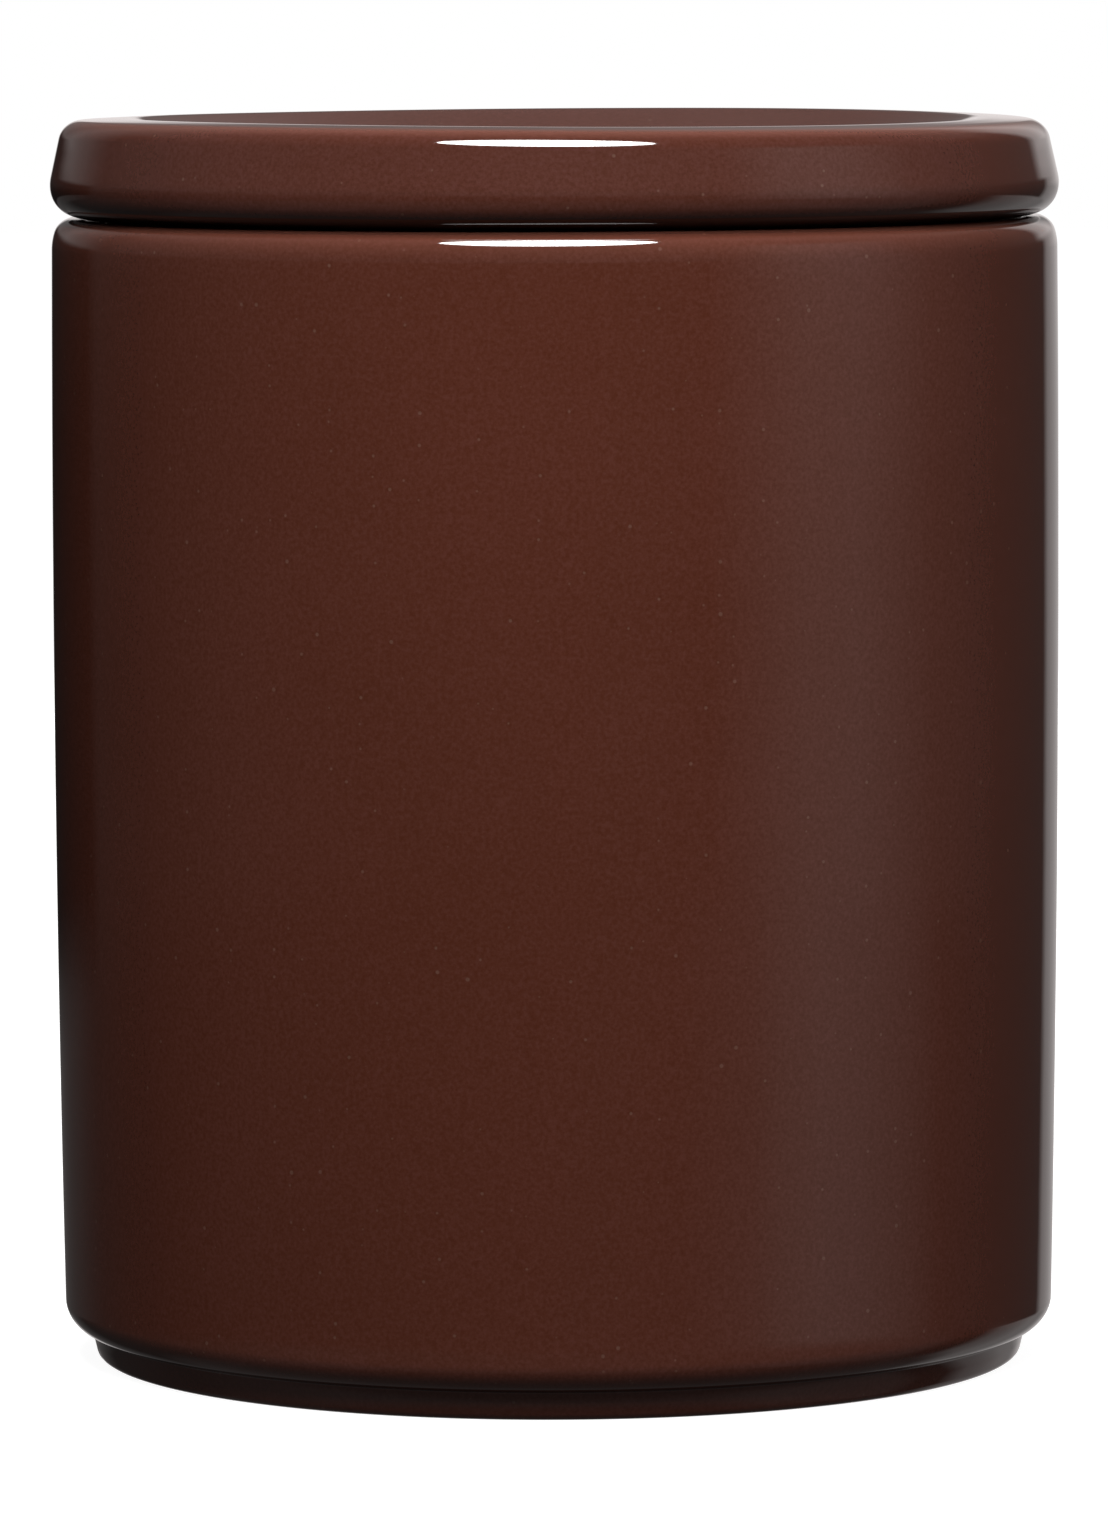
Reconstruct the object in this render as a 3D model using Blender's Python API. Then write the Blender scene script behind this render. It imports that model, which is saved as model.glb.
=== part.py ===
"""Ceramic storage jar: a glazed pot, its dished lid and the sealing ring that the lid carries.

Metres, +Z up. The origin is the centre of the foot ring's face, so the jar stands on z = 0.
Every piece is turned about the Z axis from an outline of corners, each with its own rounding.
"""

import bmesh
import bpy
from math import acos, cos, hypot, pi, radians, sin, tan
from mathutils import Matrix, Vector

# Pot
BODY_TOP_RADIUS = 0.05985      # outside, just under the rounded mouth
BODY_TAPER = 0.0007            # how much narrower the side is at its foot
BODY_BULGE = 0.00045           # how far the side swells past a straight cone, halfway up
JAR_HEIGHT = 0.1362            # foot to the top of the mouth
WALL = 0.005
FLOOR = 0.0065
SHOULDER_HEIGHT = 0.0027       # the side leans in over this much below the mouth
SHOULDER_LEAN = radians(17)
SHOULDER_ROUNDING = 0.006
MOUTH_OUTER_ROUNDING = 0.0023
MOUTH_INNER_ROUNDING = 0.0010
INSIDE_FLOOR_ROUNDING = 0.008
BASE_ROUNDING = 0.0035         # where the side turns in under the pot
BASE_SLOPE = 0.0006            # fall of the underside from the side to the foot ring

# Foot ring
FOOT_INSET = 0.00305           # from the side in to the top of the ring
FOOT_HEIGHT = 0.0034
FOOT_DRAFT = 0.0008            # the ring narrows by this towards its face
FOOT_WIDTH = 0.0060
FOOT_OUTER_ROUNDING = 0.0011
FOOT_INNER_ROUNDING = 0.0005
FOOT_CREASE_ROUNDING = 0.0003
UNDER_RECESS = 0.0024          # hollow inside the foot ring

# Lid
LID_OVERHANG = 0.00015         # the lid's widest line past the pot's side
LID_HEIGHT = 0.01175           # seat to the crest of the rim
LID_SIDE_LEAN = radians(12.5)  # the side leans in as it rises
LID_LOWER_ROUNDING = 0.0040
LID_UPPER_ROUNDING = 0.0027
RIM_WIDTH = 0.0100             # widest line to the edge of the dish
RIM_CREST_INSET = 0.0084       # widest line to the crest
RIM_OUTER_FALL = 0.0005
RIM_CREST_ROUNDING = 0.035
RIM_INNER_ROUNDING = 0.0040
DISH_DEPTH = 0.0062
DISH_SLOPE = radians(18)
DISH_ROUNDING = 0.050          # between the dish's slope and its floor

# Flange under the lid, which drops into the mouth and carries the ring
FLANGE_CLEARANCE = 0.00185     # flange to the inside of the mouth
FLANGE_WALL = 0.0050
FLANGE_DEPTH = 0.0090
FLANGE_EDGE_ROUNDING = 0.0008
FLANGE_ROOT_ROUNDING = 0.0015
GROOVE_TOP_DEPTH = 0.0024      # seat to the top of the groove
GROOVE_HEIGHT = 0.0044
GROOVE_DEPTH = 0.0016

# Sealing ring
BAND_STAND_OUT = 0.0003        # band past the flange
FIN_COUNT = 2
FIN_THICKNESS = 0.0009
FIN_TIP_THICKNESS = 0.0006
FIN_LIFT = 0.0004              # the tips point up by this

# Gaps between pieces that touch on the real jar
SEAT_GAP = 0.0003
SEAL_GAP = 0.0003

# Facets
TURN_STEPS = 72
SIDE_STEPS = 5
ARC_ANGLE = radians(22.5)      # largest turn of one facet of a rounded corner
EDGE_SHARE = 0.98              # most of an edge that its two roundings may take

GLAZE_COLOUR = (0.0685, 0.0212, 0.0130, 1.0)
SILICONE_COLOUR = (0.62, 0.60, 0.56, 1.0)

body_base_radius = BODY_TOP_RADIUS - BODY_TAPER
mouth_radius = BODY_TOP_RADIUS - WALL
base_inner_radius = body_base_radius - WALL
inside_floor_z = UNDER_RECESS + FLOOR
seat_z = JAR_HEIGHT + SEAT_GAP
lid_radius = BODY_TOP_RADIUS + LID_OVERHANG
crest_z = seat_z + LID_HEIGHT
flange_radius = mouth_radius - FLANGE_CLEARANCE
groove_radius = flange_radius - GROOVE_DEPTH
groove_top_z = seat_z - GROOVE_TOP_DEPTH
groove_bottom_z = groove_top_z - GROOVE_HEIGHT


def clear_scene():
    for item in list(bpy.context.scene.objects):
        bpy.data.objects.remove(item, do_unlink=True)


def finish_material(name, colour, roughness, coat):
    """Principled material with the piece's own colour and gloss."""
    material = bpy.data.materials.new(name)
    material.use_nodes = True
    shader = material.node_tree.nodes["Principled BSDF"]
    shader.inputs["Base Color"].default_value = colour
    shader.inputs["Roughness"].default_value = roughness
    shader.inputs["Metallic"].default_value = 0.0
    shader.inputs["Coat Weight"].default_value = coat
    return material


def rounded(corners, closed):
    """Outline points of (radius, height, rounding) corners, each rounding drawn as an arc.

    Where two roundings want more of an edge than it holds, they share it in proportion.
    """
    count = len(corners)
    places = [Vector(corner[:2]) for corner in corners]
    turns = []
    wanted = []
    for index, corner in enumerate(corners):
        before = (places[index - 1] - places[index]).normalized()
        after = (places[(index + 1) % count] - places[index]).normalized()
        turns.append(pi - acos(max(-1.0, min(1.0, before.dot(after)))))
        at_end = not closed and index in (0, count - 1)
        wanted.append(0.0 if at_end else corner[2] * tan(turns[index] / 2))
    shares = []
    for index in range(count):
        edge = (places[(index + 1) % count] - places[index]).length
        pair = wanted[index] + wanted[(index + 1) % count]
        shares.append(min(1.0, EDGE_SHARE * edge / pair) if pair > 0.0 else 1.0)
    points = []
    for index, here in enumerate(places):
        if wanted[index] == 0.0:
            points.append(here)
            continue
        reach = wanted[index] * min(shares[index - 1], shares[index])
        radius = reach / tan(turns[index] / 2)
        before = (places[index - 1] - here).normalized()
        after = (places[(index + 1) % count] - here).normalized()
        centre = here + (before + after).normalized() * hypot(radius, reach)
        first = here + before * reach - centre
        side = 1.0 if before.cross(after) < 0.0 else -1.0
        steps = max(2, round(turns[index] / ARC_ANGLE))
        for step in range(steps + 1):
            angle = side * turns[index] * step / steps
            points.append(centre + Matrix.Rotation(angle, 2) @ first)
    return points


def turned(name, corners, material, closed=False):
    """Spin an outline about Z into one closed solid.

    An open outline starts and ends on the axis. A closed one makes a ring.
    """
    shape = bmesh.new()
    points = rounded(corners, closed)
    verts = [shape.verts.new((point.x, 0.0, point.y)) for point in points]
    edges = [shape.edges.new(pair) for pair in zip(verts, verts[1:])]
    if closed:
        edges.append(shape.edges.new((verts[-1], verts[0])))
    bmesh.ops.spin(
        shape, geom=verts + edges, cent=(0.0, 0.0, 0.0), axis=(0.0, 0.0, 1.0),
        angle=2 * pi, steps=TURN_STEPS, use_merge=True,
    )
    on_axis = [vert for vert in shape.verts if hypot(vert.co.x, vert.co.y) < SEAT_GAP / TURN_STEPS]
    bmesh.ops.remove_doubles(shape, verts=on_axis, dist=SEAT_GAP / TURN_STEPS)
    bmesh.ops.recalc_face_normals(shape, faces=shape.faces)
    mesh = bpy.data.meshes.new(name)
    shape.to_mesh(mesh)
    shape.free()
    mesh.shade_smooth()
    mesh.set_sharp_from_angle(angle=radians(40))
    mesh.materials.append(material)
    piece = bpy.data.objects.new(name, mesh)
    bpy.context.scene.collection.objects.link(piece)
    return piece


def side_radius(share):
    """Outside radius of the pot at a share of its side, 0 at the foot and 1 at the shoulder."""
    return body_base_radius + BODY_TAPER * share + 4 * BODY_BULGE * share * (1 - share)


def make_jar_body(glaze):
    """The pot: foot ring, swelling side, rounded shoulder and mouth, and hollow inside."""
    foot_top_radius = body_base_radius - FOOT_INSET
    foot_face_radius = foot_top_radius - FOOT_DRAFT
    foot_inner_radius = foot_top_radius - FOOT_WIDTH
    side_foot_z = FOOT_HEIGHT + BASE_SLOPE
    side_height = JAR_HEIGHT - SHOULDER_HEIGHT - side_foot_z
    mouth_top_radius = BODY_TOP_RADIUS - SHOULDER_HEIGHT * tan(SHOULDER_LEAN)
    corners = [
        (0.0, UNDER_RECESS, 0.0),
        (foot_inner_radius, UNDER_RECESS, FOOT_INNER_ROUNDING),
        (foot_inner_radius, 0.0, FOOT_INNER_ROUNDING),
        (foot_face_radius, 0.0, FOOT_OUTER_ROUNDING),
        (foot_top_radius, FOOT_HEIGHT, FOOT_CREASE_ROUNDING),
        (body_base_radius, side_foot_z, BASE_ROUNDING),
    ]
    for step in range(1, SIDE_STEPS):
        share = step / SIDE_STEPS
        corners.append((side_radius(share), side_foot_z + side_height * share, 0.0))
    corners += [
        (BODY_TOP_RADIUS, JAR_HEIGHT - SHOULDER_HEIGHT, SHOULDER_ROUNDING),
        (mouth_top_radius, JAR_HEIGHT, MOUTH_OUTER_ROUNDING),
        (mouth_radius, JAR_HEIGHT, MOUTH_INNER_ROUNDING),
        (base_inner_radius, inside_floor_z, INSIDE_FLOOR_ROUNDING),
        (0.0, inside_floor_z, 0.0),
    ]
    return turned("jar_body", corners, glaze)


def make_lid(glaze):
    """The lid: grooved flange below, leaning side, crowned rim and dished top."""
    flange_bottom_z = seat_z - FLANGE_DEPTH
    flange_inner_radius = flange_radius - FLANGE_WALL
    crest_radius = lid_radius - RIM_CREST_INSET
    dish_radius = lid_radius - RIM_WIDTH
    dish_floor_z = crest_z - DISH_DEPTH
    dish_floor_radius = dish_radius - DISH_DEPTH / tan(DISH_SLOPE)
    upper_corner_z = crest_z - RIM_OUTER_FALL
    lean_share = (1 + sin(LID_SIDE_LEAN)) / cos(LID_SIDE_LEAN) - 1
    lower_corner_radius = lid_radius + LID_LOWER_ROUNDING * lean_share
    upper_corner_radius = lower_corner_radius - (upper_corner_z - seat_z) * tan(LID_SIDE_LEAN)
    corners = [
        (0.0, seat_z, 0.0),
        (flange_inner_radius, seat_z, FLANGE_ROOT_ROUNDING),
        (flange_inner_radius, flange_bottom_z, FLANGE_EDGE_ROUNDING),
        (flange_radius, flange_bottom_z, FLANGE_EDGE_ROUNDING),
        (flange_radius, groove_bottom_z, 0.0),
        (groove_radius, groove_bottom_z, 0.0),
        (groove_radius, groove_top_z, 0.0),
        (flange_radius, groove_top_z, 0.0),
        (flange_radius, seat_z, FLANGE_EDGE_ROUNDING),
        (lower_corner_radius, seat_z, LID_LOWER_ROUNDING),
        (upper_corner_radius, upper_corner_z, LID_UPPER_ROUNDING),
        (crest_radius, crest_z, RIM_CREST_ROUNDING),
        (dish_radius, crest_z, RIM_INNER_ROUNDING),
        (dish_floor_radius, dish_floor_z, DISH_ROUNDING),
        (0.0, dish_floor_z, 0.0),
    ]
    return turned("lid", corners, glaze)


def make_lid_seal(silicone):
    """The ring: a band in the lid's groove with fins that wipe the inside of the mouth."""
    band_inner_radius = groove_radius + SEAL_GAP
    band_outer_radius = flange_radius + BAND_STAND_OUT
    fin_tip_radius = mouth_radius - SEAL_GAP
    band_bottom_z = groove_bottom_z + SEAL_GAP
    band_top_z = groove_top_z - SEAL_GAP
    fin_pitch = (band_top_z - band_bottom_z) / FIN_COUNT
    corners = [(band_inner_radius, band_bottom_z, 0.0), (band_outer_radius, band_bottom_z, 0.0)]
    for fin in range(FIN_COUNT):
        fin_z = band_bottom_z + fin_pitch * (fin + 0.5)
        corners += [
            (band_outer_radius, fin_z - FIN_THICKNESS / 2, 0.0),
            (fin_tip_radius, fin_z + FIN_LIFT - FIN_TIP_THICKNESS / 2, 0.0),
            (fin_tip_radius, fin_z + FIN_LIFT + FIN_TIP_THICKNESS / 2, 0.0),
            (band_outer_radius, fin_z + FIN_THICKNESS / 2, 0.0),
        ]
    corners += [(band_outer_radius, band_top_z, 0.0), (band_inner_radius, band_top_z, 0.0)]
    return turned("lid_seal", corners, silicone, closed=True)


clear_scene()
brown_glaze = finish_material("brown_glaze", GLAZE_COLOUR, 0.12, 1.0)
silicone = finish_material("seal_silicone", SILICONE_COLOUR, 0.45, 0.0)
make_jar_body(brown_glaze)
make_lid(brown_glaze)
make_lid_seal(silicone)
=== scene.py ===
"""Ceramic storage jar as it looks: a pot, its dished lid and the lid's sealing ring.

Chestnut brown glaze over stoneware, turned about the Z axis. Metres, +Z up.
The outlines repeat the part's own named sizes, so each piece lies where its solid does.
A comment marks the few sizes that differ a little from the solid's.
"""

from math import acos, cos, hypot, pi, radians, sin, tan

import bmesh
import bpy
from mathutils import Matrix, Vector, noise


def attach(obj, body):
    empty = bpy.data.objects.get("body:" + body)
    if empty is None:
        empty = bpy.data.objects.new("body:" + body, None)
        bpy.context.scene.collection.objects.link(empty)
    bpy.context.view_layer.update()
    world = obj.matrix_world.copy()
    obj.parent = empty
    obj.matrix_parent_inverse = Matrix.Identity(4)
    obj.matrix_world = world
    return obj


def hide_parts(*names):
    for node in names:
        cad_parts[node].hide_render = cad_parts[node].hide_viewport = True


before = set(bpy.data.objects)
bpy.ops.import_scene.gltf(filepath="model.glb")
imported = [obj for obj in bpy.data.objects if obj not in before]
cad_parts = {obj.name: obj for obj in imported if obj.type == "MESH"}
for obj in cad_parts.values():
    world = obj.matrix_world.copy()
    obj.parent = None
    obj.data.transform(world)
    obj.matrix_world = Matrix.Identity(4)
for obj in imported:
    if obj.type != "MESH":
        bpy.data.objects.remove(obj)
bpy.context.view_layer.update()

MM = 0.001

# Pot
BODY_TOP_RADIUS = 59.85 * MM
BODY_TAPER = 0.7 * MM
BODY_BULGE = 0.45 * MM
JAR_HEIGHT = 136.3 * MM        # 0.1 mm more than the solid's, for a narrow seam
WALL = 5.0 * MM
FLOOR = 6.5 * MM
SHOULDER_HEIGHT = 2.7 * MM
SHOULDER_LEAN = radians(17)
SHOULDER_ROUNDING = 6.0 * MM
MOUTH_OUTER_ROUNDING = 2.3 * MM
MOUTH_INNER_ROUNDING = 1.0 * MM
INSIDE_FLOOR_ROUNDING = 8.0 * MM
BASE_ROUNDING = 3.5 * MM
BASE_SLOPE = 0.6 * MM

# Foot ring
FOOT_INSET = 3.05 * MM
FOOT_HEIGHT = 3.4 * MM
FOOT_DRAFT = 0.8 * MM
FOOT_WIDTH = 6.0 * MM
FOOT_OUTER_ROUNDING = 1.1 * MM
FOOT_INNER_ROUNDING = 0.5 * MM
FOOT_CREASE_ROUNDING = 0.3 * MM
FOOT_GLAZE_STOP = 0.3 * MM     # the glaze runs this far past a rounding onto the foot's face
UNDER_RECESS = 2.4 * MM

# Lid
LID_OVERHANG = 0.15 * MM
LID_HEIGHT = 11.4 * MM         # 0.35 mm less than the solid's
LID_SIDE_LEAN = radians(12.5)
LID_LOWER_ROUNDING = 4.0 * MM
LID_UPPER_ROUNDING = 2.7 * MM
RIM_WIDTH = 10.0 * MM
RIM_CREST_INSET = 8.4 * MM
RIM_OUTER_FALL = 0.32 * MM     # 0.18 mm less than the solid's
RIM_CREST_ROUNDING = 35.0 * MM
RIM_INNER_ROUNDING = 4.0 * MM
DISH_DEPTH = 6.0 * MM          # 0.2 mm less than the solid's
DISH_SLOPE = radians(18)
DISH_ROUNDING = 50.0 * MM

# Flange under the lid
FLANGE_CLEARANCE = 1.85 * MM
FLANGE_WALL = 5.0 * MM
FLANGE_DEPTH = 9.0 * MM
FLANGE_EDGE_ROUNDING = 0.8 * MM
FLANGE_ROOT_ROUNDING = 1.5 * MM
FLANGE_GLAZE_STOP = 0.2 * MM   # the glaze runs this far past a rounding onto the lower edge
GROOVE_TOP_DEPTH = 2.4 * MM
GROOVE_HEIGHT = 4.4 * MM
GROOVE_DEPTH = 1.6 * MM
GROOVE_ROUNDING = 0.25 * MM

# Sealing ring
BAND_STAND_OUT = 0.3 * MM
FIN_COUNT = 2
FIN_THICKNESS = 0.9 * MM
FIN_TIP_THICKNESS = 0.6 * MM
FIN_LIFT = 0.4 * MM
BAND_ROUNDING = 0.12 * MM
FIN_TIP_ROUNDING = 0.28 * MM
FIN_ROOT_ROUNDING = 0.3 * MM

# Seat
SEAT_GAP = 0.3 * MM
SEAT_LAND = 0.25 * MM          # the lid's weight rests on the part that stands this far down
LAND_INNER_INSET = 0.3 * MM    # the step down to it begins this far out from the mouth
LAND_OUTER_INSET = 0.7 * MM    # and ends this far out
SEAL_GAP = 0.3 * MM

# Glaze on the edges, with painted light and shade there
MOUTH_THIN_LIT_REACH = 2.8 * MM    # thin glaze and painted light, paler down from the top
MOUTH_THIN_LIT_INSET = 1.0 * MM    # it counts as none this far inside the mouth's wall
MOUTH_THIN_LIT_FADE = 3.0 * MM     # and as full this far on
MOUTH_THIN_LIT_SHARE = 0.5
LID_THIN_LIT_REACH = 1.2 * MM
LID_THIN_LIT_FADE = 4.0 * MM
LID_THIN_LIT_SHARE = 0.75
MOUTH_SHADE_REACH = 0.8 * MM    # painted shade, dark up to this far from the seam
MOUTH_SHADE_SHARE = 0.55
LID_SHADE_REACH = 2.4 * MM
LID_SHADE_SHARE = 0.9
SHADE_STEEPNESS = 1.6           # full over the inner 3/8 of the reach, fading over the rest

# Unevenness of the fired clay
WAVE_LENGTH = 22.0 * MM
WAVE_DEPTH = 0.02 * MM
WAVE_SKEW_SHARE = 0.7
POT_WAVE = 3.1                 # each casting takes its waves from its own place in the noise
LID_WAVE = 7.4
RIM_TILT = -0.002              # slope of the lid's rim, down to the right
RIM_TWIST = 0.11               # change of that slope per metre from front to back
WARP_START = 3 * MM            # the warp is none this far above the seat
WARP_RISE = 7 * MM             # and full this far on

# Mesh
TURN_STEPS = 256
ARC_FACE = 0.35 * MM           # length of one facet along a rounded corner
ARC_FACES_LEAST = 3
ROW_HEIGHT = 2.0 * MM          # longest facet along a straight side
SIDE_STEPS = 12
EDGE_SHARE = 0.98              # most of an edge that its two roundings may take
LEAST_REACH = 0.0001 * MM      # a rounding that reaches less is none
POLE_RADIUS = 0.001 * MM       # what lies closer to the axis is its pole
POLE_MERGE = 0.01 * MM
SHARP_ANGLE = radians(50)

body_base_radius = BODY_TOP_RADIUS - BODY_TAPER
mouth_radius = BODY_TOP_RADIUS - WALL
base_inner_radius = body_base_radius - WALL
side_foot_z = FOOT_HEIGHT + BASE_SLOPE
inside_floor_z = UNDER_RECESS + FLOOR
seat_z = JAR_HEIGHT + SEAT_GAP
land_z = seat_z - SEAT_LAND
lid_radius = BODY_TOP_RADIUS + LID_OVERHANG
crest_z = seat_z + LID_HEIGHT
crest_radius = lid_radius - RIM_CREST_INSET
flange_radius = mouth_radius - FLANGE_CLEARANCE
band_outer_radius = flange_radius + BAND_STAND_OUT
groove_radius = flange_radius - GROOVE_DEPTH
groove_top_z = seat_z - GROOVE_TOP_DEPTH
groove_bottom_z = groove_top_z - GROOVE_HEIGHT


def linear(code):
    """An sRGB hex colour as linear red, green, blue and alpha."""
    channels = [int(code[at:at + 2], 16) / 255 for at in (1, 3, 5)]
    return [c / 12.92 if c <= 0.04045 else ((c + 0.055) / 1.055) ** 2.4 for c in channels] + [1.0]


def add_node(tree, kind, inputs=None, stops=(), **settings):
    """A new node with its settings; an input is given a value or another node's output.

    A colour ramp's stops are pairs of place and colour, the first at 0 and the last at 1.
    """
    node = tree.nodes.new(kind)
    for name, value in settings.items():
        setattr(node, name, value)
    for socket, value in (inputs or {}).items():
        if isinstance(value, bpy.types.NodeSocket):
            tree.links.new(value, node.inputs[socket])
        else:
            node.inputs[socket].default_value = value
    for place, colour in stops[1:-1]:
        node.color_ramp.elements.new(place).color = colour
    if stops:
        node.color_ramp.elements[0].color = stops[0][1]
        node.color_ramp.elements[-1].color = stops[-1][1]
    return node


# Camera

CAMERA_PLACE = Vector((-0.0003, -1.1394, 0.1728))
CAMERA_TILT = radians(-5.121)
CAMERA_ROLL = -0.0038
CAMERA_FOCAL_LENGTH = 225.08   # millimetres, as the sensor's width
CAMERA_SENSOR_WIDTH = 36.0
CAMERA_NEAR = 10 * MM
CAMERA_FAR = 20.0


def place_camera():
    """Long lens straight in front, a little above the jar and looking slightly down."""
    lens = bpy.data.cameras.new("camera")
    lens.sensor_width = CAMERA_SENSOR_WIDTH
    lens.lens = CAMERA_FOCAL_LENGTH
    lens.clip_start = CAMERA_NEAR
    lens.clip_end = CAMERA_FAR
    camera = bpy.data.objects.new("camera", lens)
    bpy.context.scene.collection.objects.link(camera)
    turn = Matrix.Rotation(pi / 2 + CAMERA_TILT, 4, "X") @ Matrix.Rotation(CAMERA_ROLL, 4, "Z")
    camera.matrix_world = Matrix.Translation(CAMERA_PLACE) @ turn
    bpy.context.scene.camera = camera


# Turned shapes

def corner_turns(corners, closed):
    """How far the outline turns at each corner."""
    count = len(corners)
    turns = []
    for index in range(count):
        here = Vector(corners[index][:2])
        before = (Vector(corners[index - 1][:2]) - here).normalized()
        after = (Vector(corners[(index + 1) % count][:2]) - here).normalized()
        turns.append(pi - acos(max(-1.0, min(1.0, before.dot(after)))))
    if not closed:
        turns[0] = turns[-1] = 0.0
    return turns


def rounding_reaches(corners, turns):
    """How far each rounding reaches along its edges; crowded ones share the edge."""
    count = len(corners)
    wanted = [corner[2] * tan(turn / 2) for corner, turn in zip(corners, turns)]
    shares = []
    for index in range(count):
        following = (index + 1) % count
        edge = (Vector(corners[following][:2]) - Vector(corners[index][:2])).length
        pair = wanted[index] + wanted[following]
        shares.append(min(1.0, EDGE_SHARE * edge / pair) if pair > 0.0 else 1.0)
    return [wanted[at] * min(shares[at - 1], shares[at]) for at in range(count)]


def draw_outline(shape, corners, closed):
    """The outline's corners and the straight edges between them."""
    bare = shape.verts.layers.float.new("bare")
    verts = [shape.verts.new((corner[0], 0.0, corner[1])) for corner in corners]
    for pair in zip(verts, verts[1:]):
        shape.edges.new(pair)
    if closed:
        shape.edges.new((verts[-1], verts[0]))
    for vert, corner in zip(verts, corners):
        vert[bare] = 1.0 if "bare" in corner[3:] else 0.0
    return verts


def round_corner(shape, vert, turn, reach):
    """Bevel one corner into an arc of short facets."""
    radius = reach / tan(turn / 2)
    segments = max(ARC_FACES_LEAST, round(turn * radius / ARC_FACE))
    bmesh.ops.bevel(
        shape, geom=[vert], affect="VERTICES", offset=reach, offset_type="ABSOLUTE",
        segments=segments, profile=0.5, material=-1,
    )


def spin_outline(shape):
    """Spin the outline about Z and close the poles that it leaves on the axis."""
    bmesh.ops.spin(
        shape, geom=shape.verts[:] + shape.edges[:], cent=(0.0, 0.0, 0.0), axis=(0.0, 0.0, 1.0),
        angle=2 * pi, steps=TURN_STEPS, use_merge=True,
    )
    poles = [vert for vert in shape.verts if hypot(vert.co.x, vert.co.y) < POLE_RADIUS]
    bmesh.ops.remove_doubles(shape, verts=poles, dist=POLE_MERGE)
    bmesh.ops.recalc_face_normals(shape, faces=shape.faces)


def turned(corners, closed=False):
    """Spin an outline of (radius, height, rounding) corners about Z.

    A corner marked "bare" has no glaze; its vertices carry that as a value and spin hands it on.
    """
    shape = bmesh.new()
    verts = draw_outline(shape, corners, closed)
    turns = corner_turns(corners, closed)
    for vert, turn, reach in zip(verts, turns, rounding_reaches(corners, turns)):
        if reach > LEAST_REACH:
            round_corner(shape, vert, turn, reach)
    for edge in list(shape.edges):
        cuts = int(edge.calc_length() / ROW_HEIGHT)
        if cuts:
            bmesh.ops.subdivide_edges(shape, edges=[edge], cuts=cuts)
    spin_outline(shape)
    return shape


def finished(name, shape, material, body, node):
    """Turn a bmesh into a piece that rides on its body in place of its solid."""
    mesh = bpy.data.meshes.new(name)
    shape.to_mesh(mesh)
    shape.free()
    mesh.shade_smooth()
    mesh.set_sharp_from_angle(angle=SHARP_ANGLE)
    mesh.materials.append(material)
    piece = bpy.data.objects.new(name, mesh)
    bpy.context.scene.collection.objects.link(piece)
    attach(piece, body)
    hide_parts(node)


def thin_and_lit_edge(shape, top_z, reach, amount, inner_radius, fade):
    """Mark how pale a rounded edge is: partly thin glaze over it, partly painted light.

    Most at the top, none a reach lower, and less and less over a fade inwards.
    """
    layer = shape.verts.layers.float.new("thin_and_lit")
    for vert in shape.verts:
        outward = (hypot(vert.co.x, vert.co.y) - inner_radius) / fade
        upward = 1.0 - (top_z - vert.co.z) / reach
        vert[layer] = amount * max(0.0, upward) * max(0.0, min(1.0, outward))


def painted_seam_shade(shape, edge_z, reach, amount, inner_radius):
    """Mark painted shade beside the seam, dark up to a reach from it."""
    layer = shape.verts.layers.float.new("seam_shade")
    for vert in shape.verts:
        if hypot(vert.co.x, vert.co.y) > inner_radius:
            share = SHADE_STEEPNESS * (1.0 - abs(vert.co.z - edge_z) / reach)
            vert[layer] = amount * max(0.0, min(1.0, share))


def uneven(shape, wave):
    """Let the surface sink and rise as thrown and glazed clay does, far less than a hair."""
    shift = Vector((wave, wave * WAVE_SKEW_SHARE, -wave))
    shape.normal_update()
    moves = {}
    for vert in shape.verts:
        swell = noise.noise(vert.co / WAVE_LENGTH + shift)
        moves[vert] = vert.normal * (swell - 1.0) * WAVE_DEPTH / 2
    for vert, move in moves.items():
        vert.co += move


def warp_rim(shape):
    """Pull the lid's rim a little out of flat, as drying and firing do; the seat stays flat."""
    for vert in shape.verts:
        share = max(0.0, min(1.0, (vert.co.z - seat_z - WARP_START) / WARP_RISE))
        vert.co.z += share * vert.co.x * (RIM_TILT + RIM_TWIST * vert.co.y)


# Pot

def foot_corners():
    """From the middle of the recess under the floor, over the foot ring, to the base."""
    foot_top_radius = body_base_radius - FOOT_INSET
    face_radius = foot_top_radius - FOOT_DRAFT
    inner_radius = foot_top_radius - FOOT_WIDTH
    return [
        (0.0, UNDER_RECESS, 0.0),
        (inner_radius, UNDER_RECESS, FOOT_INNER_ROUNDING),
        (inner_radius, 0.0, FOOT_INNER_ROUNDING),
        (inner_radius + FOOT_GLAZE_STOP + FOOT_INNER_ROUNDING, 0.0, 0.0, "bare"),
        (face_radius - FOOT_GLAZE_STOP - FOOT_OUTER_ROUNDING, 0.0, 0.0, "bare"),
        (face_radius, 0.0, FOOT_OUTER_ROUNDING),
        (foot_top_radius, FOOT_HEIGHT, FOOT_CREASE_ROUNDING),
        (body_base_radius, side_foot_z, BASE_ROUNDING),
    ]


def side_corners():
    """Up the side, which swells in its middle, to just below the shoulder."""
    height = JAR_HEIGHT - SHOULDER_HEIGHT - side_foot_z
    corners = []
    for step in range(1, SIDE_STEPS):
        share = step / SIDE_STEPS
        radius = body_base_radius + BODY_TAPER * share + 4 * BODY_BULGE * share * (1 - share)
        corners.append((radius, side_foot_z + height * share, 0.0))
    return corners


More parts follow.
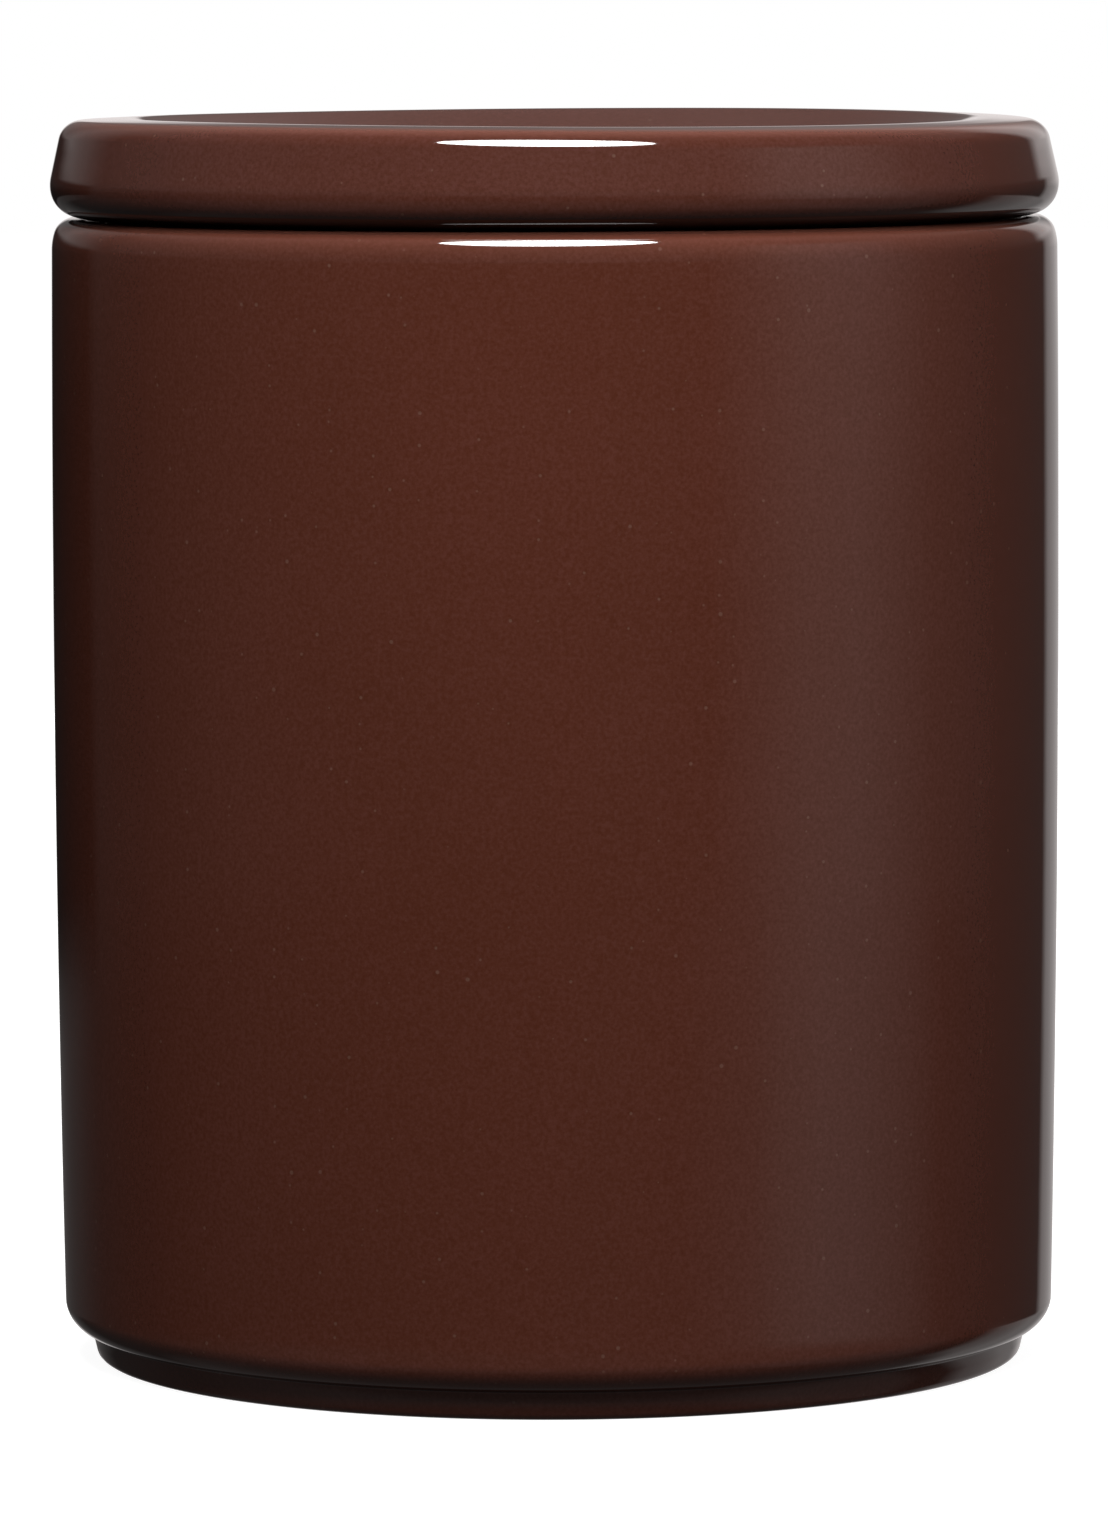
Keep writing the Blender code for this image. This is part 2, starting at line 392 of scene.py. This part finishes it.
def mouth_corners():
    """Over the shoulder and the mouth and down the inside to the middle of the floor."""
    mouth_outer_radius = BODY_TOP_RADIUS - SHOULDER_HEIGHT * tan(SHOULDER_LEAN)
    return [
        (BODY_TOP_RADIUS, JAR_HEIGHT - SHOULDER_HEIGHT, SHOULDER_ROUNDING),
        (mouth_outer_radius, JAR_HEIGHT, MOUTH_OUTER_ROUNDING),
        (mouth_radius, JAR_HEIGHT, MOUTH_INNER_ROUNDING),
        (base_inner_radius, inside_floor_z, INSIDE_FLOOR_ROUNDING),
        (0.0, inside_floor_z, 0.0),
    ]


def make_pot(material):
    """The pot: foot ring, swelling side, rounded mouth and hollow inside."""
    shape = turned(foot_corners() + side_corners() + mouth_corners())
    # paler mouth edge: partly thin glaze, partly painted light
    thin_and_lit_edge(shape, JAR_HEIGHT, MOUTH_THIN_LIT_REACH, MOUTH_THIN_LIT_SHARE,
              mouth_radius - MOUTH_THIN_LIT_INSET, MOUTH_THIN_LIT_FADE)
    # painted shade: the pot darkens towards the seam under the lid
    painted_seam_shade(shape, JAR_HEIGHT, MOUTH_SHADE_REACH, MOUTH_SHADE_SHARE, mouth_radius)
    uneven(shape, POT_WAVE)
    finished("pot", shape, material, "jar", "jar_body")


# Lid

def flange_corners():
    """From the middle of the lid's underside, down and round the grooved flange, to the seat."""
    bottom_z = seat_z - FLANGE_DEPTH
    inner_radius = flange_radius - FLANGE_WALL
    edge = FLANGE_EDGE_ROUNDING + FLANGE_GLAZE_STOP
    return [
        (0.0, seat_z, 0.0),
        (inner_radius, seat_z, FLANGE_ROOT_ROUNDING),
        (inner_radius, bottom_z, FLANGE_EDGE_ROUNDING),
        (inner_radius + edge, bottom_z, 0.0, "bare"),
        (flange_radius - edge, bottom_z, 0.0, "bare"),
        (flange_radius, bottom_z, FLANGE_EDGE_ROUNDING),
        (flange_radius, groove_bottom_z, GROOVE_ROUNDING),
        (groove_radius, groove_bottom_z, GROOVE_ROUNDING),
        (groove_radius, groove_top_z, GROOVE_ROUNDING),
        (flange_radius, groove_top_z, GROOVE_ROUNDING),
        (flange_radius, seat_z, FLANGE_EDGE_ROUNDING),
        (mouth_radius + LAND_INNER_INSET, seat_z, SEAT_LAND),
        (mouth_radius + LAND_OUTER_INSET, land_z, SEAT_LAND),
    ]


def rim_corners():
    """Up the leaning side, over the crowned rim and down the dish to its middle.

    The lower corner stands out so far that its rounding is widest at the lid's radius.
    """
    upper_z = crest_z - RIM_OUTER_FALL
    lean_share = (1 + sin(LID_SIDE_LEAN)) / cos(LID_SIDE_LEAN) - 1
    lower_radius = lid_radius + LID_LOWER_ROUNDING * lean_share
    upper_radius = lower_radius - (upper_z - land_z) * tan(LID_SIDE_LEAN)
    dish_radius = lid_radius - RIM_WIDTH
    dish_floor_z = crest_z - DISH_DEPTH
    dish_floor_radius = dish_radius - DISH_DEPTH / tan(DISH_SLOPE)
    return [
        (lower_radius, land_z, LID_LOWER_ROUNDING),
        (upper_radius, upper_z, LID_UPPER_ROUNDING),
        (crest_radius, crest_z, RIM_CREST_ROUNDING),
        (dish_radius, crest_z, RIM_INNER_ROUNDING),
        (dish_floor_radius, dish_floor_z, DISH_ROUNDING),
        (0.0, dish_floor_z, 0.0),
    ]


def make_lid(material):
    """The lid: grooved flange below, leaning side, crowned rim and dished top."""
    shape = turned(flange_corners() + rim_corners())
    # paler rim crest: partly thin glaze, partly painted light
    thin_and_lit_edge(shape, crest_z, LID_THIN_LIT_REACH, LID_THIN_LIT_SHARE, crest_radius, LID_THIN_LIT_FADE)
    # painted shade: the lid darkens towards the seam on the pot
    painted_seam_shade(shape, land_z, LID_SHADE_REACH, LID_SHADE_SHARE, mouth_radius)
    warp_rim(shape)
    uneven(shape, LID_WAVE)
    finished("lid", shape, material, "lid", "lid")


# Sealing ring

def fin_corners(fin_z):
    """Round one fin, which tapers and points a little upwards."""
    tip_radius = mouth_radius - SEAL_GAP
    tip_z = fin_z + FIN_LIFT
    return [
        (band_outer_radius, fin_z - FIN_THICKNESS / 2, FIN_ROOT_ROUNDING),
        (tip_radius, tip_z - FIN_TIP_THICKNESS / 2, FIN_TIP_ROUNDING),
        (tip_radius, tip_z + FIN_TIP_THICKNESS / 2, FIN_TIP_ROUNDING),
        (band_outer_radius, fin_z + FIN_THICKNESS / 2, FIN_ROOT_ROUNDING),
    ]


def make_seal(material):
    """The ring: a band in the lid's groove with fins that wipe the inside of the mouth."""
    inner_radius = groove_radius + SEAL_GAP
    bottom_z = groove_bottom_z + SEAL_GAP
    top_z = groove_top_z - SEAL_GAP
    fin_pitch = (top_z - bottom_z) / FIN_COUNT
    corners = [
        (inner_radius, bottom_z, BAND_ROUNDING),
        (band_outer_radius, bottom_z, BAND_ROUNDING),
    ]
    for fin in range(FIN_COUNT):
        corners += fin_corners(bottom_z + fin_pitch * (fin + 0.5))
    corners += [
        (band_outer_radius, top_z, BAND_ROUNDING),
        (inner_radius, top_z, BAND_ROUNDING),
    ]
    shape = turned(corners, closed=True)
    finished("seal", shape, material, "seal", "lid_seal")


# Glaze

POT_TONES = ("#441e11", "#492318", "#4e281f")      # dark grain, body, pale grain
LID_TONES = ("#3e1c11", "#432118", "#48261f")
SPECK_TONE = "#7a6356"
# paler edge tone: thin glaze and painted light
THIN_AND_LIT_TONE = "#6e4337"
# painted shade at the seam between pot and lid
SEAM_SHADE_TONE = "#170a07"
CLAY_TONES = ("#9c8468", "#c9b496")

CLOUD_SIZE = 26 * MM           # slow drift of the tone
CLOUD_SHARE = 0.1              # of the way from the dark grain to the pale one
GRAIN_SIZE = 0.45 * MM         # drawn as coarse as it needs to be to show
NOISE_LOW = 0.3                # nearly all of a noise's values lie between these two
NOISE_HIGH = 0.7
SPECK_PITCH = 1.7 * MM
SPECKLESS_SHARE = 0.45         # of the cells have no speck
SPECK_RADIUS_SHARE = 0.17      # of the pitch, for the largest speck
SPECK_EDGE_SHARE = 0.06
SPECK_STRENGTH = 0.2
THIN_AND_LIT_STRENGTH = 0.9
RAGGED_SIZE = 4 * MM           # waves in the line where the glaze ends
RAGGED_EDGE = 0.1
GRIT_SIZE = 0.5 * MM
PEEL_SIZE = 3.2 * MM           # faint orange peel of the fired gloss
PEEL_DEPTH = 0.004 * MM
GLAZE_ROUGHNESS = 0.035
CLAY_ROUGHNESS = 0.85
GLAZE_IOR = 1.5


def glaze_ground(tree, place, tones):
    """The glaze itself: a fine grain of three close tones over a slow drift."""
    cloud = add_node(tree, "ShaderNodeTexNoise", {"Vector": place, "Scale": 1 / CLOUD_SIZE,
                     "Detail": 3.0, "Roughness": 0.55}).outputs["Fac"]
    grain = add_node(tree, "ShaderNodeTexNoise", {"Vector": place, "Scale": 1 / GRAIN_SIZE,
                     "Detail": 2.0, "Roughness": 0.6}).outputs["Fac"]
    toned = add_node(tree, "ShaderNodeMapRange", {"Value": grain, "From Min": NOISE_LOW,
                     "From Max": NOISE_HIGH}).outputs["Result"]
    drift = add_node(tree, "ShaderNodeMapRange", {"Value": cloud, "From Min": NOISE_LOW,
                     "From Max": NOISE_HIGH, "To Min": -CLOUD_SHARE,
                     "To Max": CLOUD_SHARE}).outputs["Result"]
    depth = add_node(tree, "ShaderNodeMath", {0: toned, 1: drift}, operation="ADD").outputs[0]
    stops = [(at / 2, linear(tone)) for at, tone in enumerate(tones)]
    return add_node(tree, "ShaderNodeValToRGB", {"Fac": depth}, stops=stops).outputs["Color"]


def with_specks(tree, place, glaze):
    """Pale specks up to half a millimetre across, one to a cell, and none in nearly half."""
    cells = add_node(tree, "ShaderNodeTexVoronoi", {"Vector": place, "Scale": 1 / SPECK_PITCH})
    chance = add_node(tree, "ShaderNodeSeparateColor", {"Color": cells.outputs["Color"]})
    radius = add_node(tree, "ShaderNodeMapRange", {"Value": chance.outputs["Red"],
                      "From Min": SPECKLESS_SHARE, "To Max": SPECK_RADIUS_SHARE}).outputs["Result"]
    inside = add_node(tree, "ShaderNodeMath", {0: radius, 1: cells.outputs["Distance"]},
                      operation="SUBTRACT").outputs[0]
    speck = add_node(tree, "ShaderNodeMapRange", {"Value": inside, "From Max": SPECK_EDGE_SHARE,
                     "To Max": SPECK_STRENGTH}).outputs["Result"]
    return add_node(tree, "ShaderNodeMix", {"Factor": speck, 6: glaze, 7: linear(SPECK_TONE)},
                    data_type="RGBA").outputs[2]


def with_edges(tree, glaze):
    """Paler over an edge, partly thin glaze and partly painted light; near black at the seam,
    painted shade.
    """
    # paler edges: thin glaze and painted light
    thin_and_lit = add_node(tree, "ShaderNodeAttribute", attribute_name="thin_and_lit").outputs["Fac"]
    thin_lit_share = add_node(tree, "ShaderNodeMapRange", {"Value": thin_and_lit,
                     "To Max": THIN_AND_LIT_STRENGTH}).outputs["Result"]
    edged = add_node(tree, "ShaderNodeMix", {"Factor": thin_lit_share, 6: glaze, 7: linear(THIN_AND_LIT_TONE)},
                     data_type="RGBA").outputs[2]
    # painted shade at the seam, near black
    seam_shade = add_node(tree, "ShaderNodeAttribute", attribute_name="seam_shade").outputs["Fac"]
    return add_node(tree, "ShaderNodeMix", {"Factor": seam_shade, 6: edged, 7: linear(SEAM_SHADE_TONE)},
                    data_type="RGBA").outputs[2]


def bare_clay(tree, place):
    """Where the clay is bare, up to a slightly ragged line, and its gritty colour there."""
    bare = add_node(tree, "ShaderNodeAttribute", attribute_name="bare").outputs["Fac"]
    ragged = add_node(tree, "ShaderNodeTexNoise", {"Vector": place, "Scale": 1 / RAGGED_SIZE,
                      "Detail": 2.0}).outputs["Fac"]
    line = add_node(tree, "ShaderNodeMath", {0: bare, 1: ragged}, operation="ADD").outputs[0]
    share = add_node(tree, "ShaderNodeMapRange", {"Value": line, "From Min": 1.0,
                     "From Max": 1.0 + RAGGED_EDGE}).outputs["Result"]
    grit = add_node(tree, "ShaderNodeTexNoise", {"Vector": place, "Scale": 1 / GRIT_SIZE,
                    "Detail": 3.0}).outputs["Fac"]
    colour = add_node(tree, "ShaderNodeMix", {"Factor": grit, 6: linear(CLAY_TONES[0]),
                      7: linear(CLAY_TONES[1])}, data_type="RGBA").outputs[2]
    return share, colour


def glaze_material(name, tones):
    """Glossy iron-brown stoneware glaze, dipped and fired.

    Deep chestnut with a fine grain and a few pale specks in it, paler over an edge for thin
    glaze and painted light, painted near black at the seam for shade, under a hard clear gloss.
    Where the clay is bare it is sandy and matt.
    """
    material = bpy.data.materials.new(name)
    material.use_nodes = True
    tree = material.node_tree
    shader = tree.nodes["Principled BSDF"]
    place = add_node(tree, "ShaderNodeTexCoord").outputs["Object"]
    glaze = with_edges(tree, with_specks(tree, place, glaze_ground(tree, place, tones)))
    clay_share, clay = bare_clay(tree, place)
    colour = add_node(tree, "ShaderNodeMix", {"Factor": clay_share, 6: glaze, 7: clay},
                      data_type="RGBA").outputs[2]
    gloss = add_node(tree, "ShaderNodeMapRange", {"Value": clay_share, "To Min": GLAZE_ROUGHNESS,
                     "To Max": CLAY_ROUGHNESS}).outputs["Result"]
    peel = add_node(tree, "ShaderNodeTexNoise", {"Vector": place, "Scale": 1 / PEEL_SIZE,
                    "Detail": 1.0}).outputs["Fac"]
    bump = add_node(tree, "ShaderNodeBump", {"Height": peel, "Strength": 1.0,
                    "Distance": PEEL_DEPTH}).outputs["Normal"]
    tree.links.new(colour, shader.inputs["Base Color"])
    tree.links.new(gloss, shader.inputs["Roughness"])
    tree.links.new(bump, shader.inputs["Normal"])
    shader.inputs["IOR"].default_value = GLAZE_IOR
    return material


# Silicone

SILICONE_TONES = ("#c9c5bb", "#dedad1")
MILK_SIZE = 9 * MM
SKIN_SIZE = 0.35 * MM
SKIN_DEPTH = 0.006 * MM
SKIN_SMOOTHEST = 0.36
SKIN_ROUGHEST = 0.52
SILICONE_IOR = 1.41
SCATTER_SHARE = 0.25
SCATTER_DEPTH = 1.5 * MM


def silicone_material():
    """Moulded food-grade silicone, milky and a little translucent, with a satin skin."""
    material = bpy.data.materials.new("moulded_silicone")
    material.use_nodes = True
    tree = material.node_tree
    shader = tree.nodes["Principled BSDF"]
    place = add_node(tree, "ShaderNodeTexCoord").outputs["Object"]
    milk = add_node(tree, "ShaderNodeTexNoise", {"Vector": place, "Scale": 1 / MILK_SIZE,
                    "Detail": 4.0}).outputs["Fac"]
    colour = add_node(tree, "ShaderNodeMix", {"Factor": milk, 6: linear(SILICONE_TONES[0]),
                      7: linear(SILICONE_TONES[1])}, data_type="RGBA").outputs[2]
    skin = add_node(tree, "ShaderNodeTexNoise", {"Vector": place, "Scale": 1 / SKIN_SIZE,
                    "Detail": 2.0}).outputs["Fac"]
    satin = add_node(tree, "ShaderNodeMapRange", {"Value": skin, "To Min": SKIN_SMOOTHEST,
                     "To Max": SKIN_ROUGHEST}).outputs["Result"]
    bump = add_node(tree, "ShaderNodeBump", {"Height": skin, "Strength": 1.0,
                    "Distance": SKIN_DEPTH}).outputs["Normal"]
    tree.links.new(colour, shader.inputs["Base Color"])
    tree.links.new(satin, shader.inputs["Roughness"])
    tree.links.new(bump, shader.inputs["Normal"])
    shader.inputs["IOR"].default_value = SILICONE_IOR
    shader.inputs["Subsurface Weight"].default_value = SCATTER_SHARE
    shader.inputs["Subsurface Scale"].default_value = SCATTER_DEPTH
    return material


# Screens round the jar, which only its reflections show

# Each band says between which two heights it comes in over the one below, where 0 is level
# with the jar and -1 and 1 are straight down and up, and then how pale it is at so many
# degrees round from straight in front, less than 0 to the left.
SCREEN_BANDS = [
    ((-0.7, -0.56), [
        (-180, 0.9), (-174, 0.8), (-167, 0.1), (-150, 0.03), (-110, 0.06), (-60, 0.15),
        (40, 0.15), (60, 0.2), (84, 0.16), (98, 0.14), (108, 0.05), (118, 0.05), (128, 0.34),
        (148, 0.4), (158, 0.3), (172, 0.6), (180, 0.9),
    ]),
    ((-0.215, -0.175), [
        (-180, 0.4), (-172, 0.08), (-160, 0.065), (-146, 0.06), (-132, 0.04), (-110, 0.04),
        (-90, 0.06), (-75, 0.08), (-30, 0.1), (28, 0.12), (45, 0.24), (53, 0.38), (63, 0.46),
        (74, 0.4), (86, 0.26), (98, 0.1), (120, 0.06), (149, 0.05), (153.5, 0.4), (168, 0.5),
        (180, 0.55),
    ]),
    ((-0.125, -0.105), [
        (-180, 0.55), (-176, 0.45), (-172, 0.01), (-134, 0.01), (-129, 0.04), (-110, 0.05),
        (-90, 0.09), (-75, 0.11), (-30, 0.11), (35, 0.13), (58, 0.44), (72, 0.46), (95, 0.17),
        (120, 0.07), (149, 0.05), (153.5, 0.42), (168, 0.5), (180, 0.55),
    ]),
    ((-0.06, 0.0), [
        (-180, 0.85), (-175, 0.8), (-171, 0.02), (-134, 0.02), (-128, 0.07), (-110, 0.08),
        (-90, 0.1), (-75, 0.12), (-30, 0.12), (35, 0.15), (58, 0.56), (72, 0.56), (95, 0.2),
        (120, 0.07), (149, 0.06), (153.5, 0.48), (166, 0.75), (180, 0.85),
    ]),
    ((0.03, 0.09), [
        (-180, 0.15), (-162, 0.15), (-152, 0.26), (-138, 0.2), (-126, 0.08), (-105, 0.17),
        (-75, 0.22), (-30, 0.24), (0, 0.32), (40, 0.28), (57, 0.64), (72, 0.6), (92, 0.24),
        (120, 0.1), (144, 0.1), (150, 0.8), (163, 0.9), (172, 0.3), (180, 0.16),
    ]),
    ((0.4, 0.6), [(-180, 0.22), (180, 0.22)]),
]
GROUND_PALENESS = 0.09         # straight down, below all the bands
SCREEN_TINT = (1.0, 0.94, 0.93)
AMBIENT = (0.1, 0.1, 0.1, 1.0)
WHITE = (1.0, 1.0, 1.0, 1.0)


def screen_grey(paleness):
    """The colour of a studio screen: a grey that leans a little to rose."""
    return [paleness * share for share in SCREEN_TINT] + [1.0]


def round_stops(pairs):
    """Stops of a ramp from straight behind, by the left, the front and the right, to behind."""
    return [(degrees_round / 360 + 0.5, screen_grey(paleness)) for degrees_round, paleness in pairs]


def studio_screens(tree):
    """The colour of the screens in each direction from the jar."""
    way = add_node(tree, "ShaderNodeTexCoord").outputs["Generated"]
    parts = add_node(tree, "ShaderNodeSeparateXYZ", {"Vector": way}).outputs
    front = add_node(tree, "ShaderNodeMath", {0: parts["Y"], 1: -1.0}, operation="MULTIPLY")
    turn = add_node(tree, "ShaderNodeMath", {0: parts["X"], 1: front.outputs[0]},
                    operation="ARCTAN2").outputs[0]
    around = add_node(tree, "ShaderNodeMapRange", {"Value": turn, "From Min": -pi,
                      "From Max": pi}).outputs["Result"]
    screens = screen_grey(GROUND_PALENESS)
    for (none_z, full_z), pairs in SCREEN_BANDS:
        band = add_node(tree, "ShaderNodeValToRGB", {"Fac": around},
                        stops=round_stops(pairs)).outputs["Color"]
        share = add_node(tree, "ShaderNodeMapRange", {"Value": parts["Z"], "From Min": none_z,
                         "From Max": full_z}, interpolation_type="SMOOTHSTEP").outputs["Result"]
        screens = add_node(tree, "ShaderNodeMix", {"Factor": share, 6: screens, 7: band},
                           data_type="RGBA").outputs[2]
    return screens


def make_world():
    """White to the camera; a studio of grey screens to the glaze; dim to everything else."""
    world = bpy.data.worlds.new("studio")
    bpy.context.scene.world = world
    world.use_nodes = True
    tree = world.node_tree
    tree.nodes.clear()
    rays = add_node(tree, "ShaderNodeLightPath").outputs
    ambient = add_node(tree, "ShaderNodeMix", {"Factor": rays["Is Glossy Ray"], 6: AMBIENT,
                       7: studio_screens(tree)}, data_type="RGBA").outputs[2]
    seen = add_node(tree, "ShaderNodeMath", {0: rays["Is Camera Ray"],
                    1: rays["Is Transmission Ray"]}, operation="MAXIMUM").outputs[0]
    colour = add_node(tree, "ShaderNodeMix", {"Factor": seen, 6: ambient, 7: WHITE},
                      data_type="RGBA").outputs[2]
    glow = add_node(tree, "ShaderNodeBackground", {"Color": colour, "Strength": 1.0})
    add_node(tree, "ShaderNodeOutputWorld", {"Surface": glow.outputs[0]})


# Table

TABLE_RADIUS = 4.0
TABLE_SIDES = 96
TABLE_GREY = (0.3, 0.3, 0.3, 1.0)
TABLE_GLOW = 0.95              # near the jar, where its paint takes some light too
TABLE_FAR_GLOW = 1.0
GLOW_NEAR = 0.1
GLOW_FAR = 0.5


def table_material():
    """White table paint: it glows white to the camera and darkens where the jar shades it."""
    material = bpy.data.materials.new("white_table")
    material.use_nodes = True
    tree = material.node_tree
    tree.nodes.clear()
    rays = add_node(tree, "ShaderNodeLightPath").outputs
    direct = add_node(tree, "ShaderNodeMath", {0: rays["Is Camera Ray"],
                      1: rays["Is Glossy Ray"]}, operation="MAXIMUM").outputs[0]
    seen = add_node(tree, "ShaderNodeMath", {0: direct, 1: rays["Is Transmission Ray"]},
                    operation="MAXIMUM").outputs[0]
    paint = add_node(tree, "ShaderNodeBsdfDiffuse", {"Color": TABLE_GREY}).outputs[0]
    place = add_node(tree, "ShaderNodeTexCoord").outputs["Object"]
    away = add_node(tree, "ShaderNodeVectorMath", {0: place}, operation="LENGTH").outputs["Value"]
    white = add_node(tree, "ShaderNodeMapRange", {"Value": away, "From Min": GLOW_NEAR,
                     "From Max": GLOW_FAR, "To Min": TABLE_GLOW,
                     "To Max": TABLE_FAR_GLOW}).outputs["Result"]
    glow = add_node(tree, "ShaderNodeEmission", {"Strength": white}).outputs[0]
    lit = add_node(tree, "ShaderNodeAddShader", {0: paint, 1: glow}).outputs[0]
    both = add_node(tree, "ShaderNodeMixShader", {0: seen, 1: paint, 2: lit}).outputs[0]
    add_node(tree, "ShaderNodeOutputMaterial", {"Surface": both})
    return material


def make_floor():
    """The plain round table that the jar stands on."""
    shape = bmesh.new()
    bmesh.ops.create_circle(shape, cap_ends=True, segments=TABLE_SIDES, radius=TABLE_RADIUS)
    mesh = bpy.data.meshes.new("floor")
    shape.to_mesh(mesh)
    shape.free()
    mesh.materials.append(table_material())
    floor = bpy.data.objects.new("floor", mesh)
    bpy.context.scene.collection.objects.link(floor)
    floor.visible_glossy = False
    floor.visible_diffuse = False


# Lamps

GLEAM_PLACE = Vector((-0.0118, -0.058, 0.146))     # middle of the gleam on the lid's upper edge
SOFTBOX_HALF_WIDTH = 0.186
SOFTBOX_LOWER_WAY = Vector((0.0, -1.86, 1.48))     # from there to the box, in half widths
SOFTBOX_UPPER_WAY = Vector((0.0, -0.9, 3.25))
SOFTBOX_POWER = 2.7            # lights the glaze and doesn't show in it
GLEAM_POWER = 15.0             # shows in the glaze and doesn't light it
GLEAM_STEP = 10 * MM           # the lamp that shows hangs this far in front of the other
JAR_MIDDLE = (0.0, 0.0, 0.08)
FILL_LAMPS = [                 # name, place, width and height, power
    ("top_fill", (0.0, 0.1, 0.9), (0.6, 0.6), 4.0),
    ("front_fill", (0.0, -0.6, 0.72), (0.4, 0.3), 6.5),
    ("right_fill", (0.7, -0.42, 0.5), (0.5, 0.5), 1.3),
    ("back_fill", (0.1, 1.0, 0.2), (0.5, 0.3), 3.0),
]


def add_lamp(name, place, aim, size, power, diffuse=True, glossy=True, shape="RECTANGLE"):
    """A soft light that faces a point."""
    lamp = bpy.data.lights.new(name, "AREA")
    lamp.shape = shape
    lamp.size, lamp.size_y = size
    lamp.energy = power
    light = bpy.data.objects.new(name, lamp)
    bpy.context.scene.collection.objects.link(light)
    away = Vector(place) - Vector(aim)
    turn = away.to_track_quat("Z", "Y").to_matrix().to_4x4()
    light.matrix_world = Matrix.Translation(place) @ turn
    light.visible_diffuse = diffuse
    light.visible_glossy = glossy
    light.visible_camera = False


def light_studio():
    """A soft box close over the front, and fills from above, in front, the right and behind."""
    lower = GLEAM_PLACE + SOFTBOX_HALF_WIDTH * SOFTBOX_LOWER_WAY
    upper = GLEAM_PLACE + SOFTBOX_HALF_WIDTH * SOFTBOX_UPPER_WAY
    place = (lower + upper) / 2
    facing = (upper - lower).cross(Vector((1.0, 0.0, 0.0))).normalized()
    size = (2 * SOFTBOX_HALF_WIDTH, (upper - lower).length)
    add_lamp("key_softbox", place, place + facing, size, SOFTBOX_POWER, glossy=False)
    add_lamp("key_softbox_gleam", place + GLEAM_STEP * facing, place + facing, size, GLEAM_POWER,
             diffuse=False, shape="ELLIPSE")
    for name, lamp_place, lamp_size, power in FILL_LAMPS:
        add_lamp(name, lamp_place, JAR_MIDDLE, lamp_size, power, glossy=False)


bpy.context.scene.view_settings.view_transform = "Standard"
place_camera()
make_world()
make_floor()
light_studio()

pot_glaze = glaze_material("chestnut_pot_glaze", POT_TONES)
lid_glaze = glaze_material("chestnut_lid_glaze", LID_TONES)
make_pot(pot_glaze)
make_lid(lid_glaze)
make_seal(silicone_material())
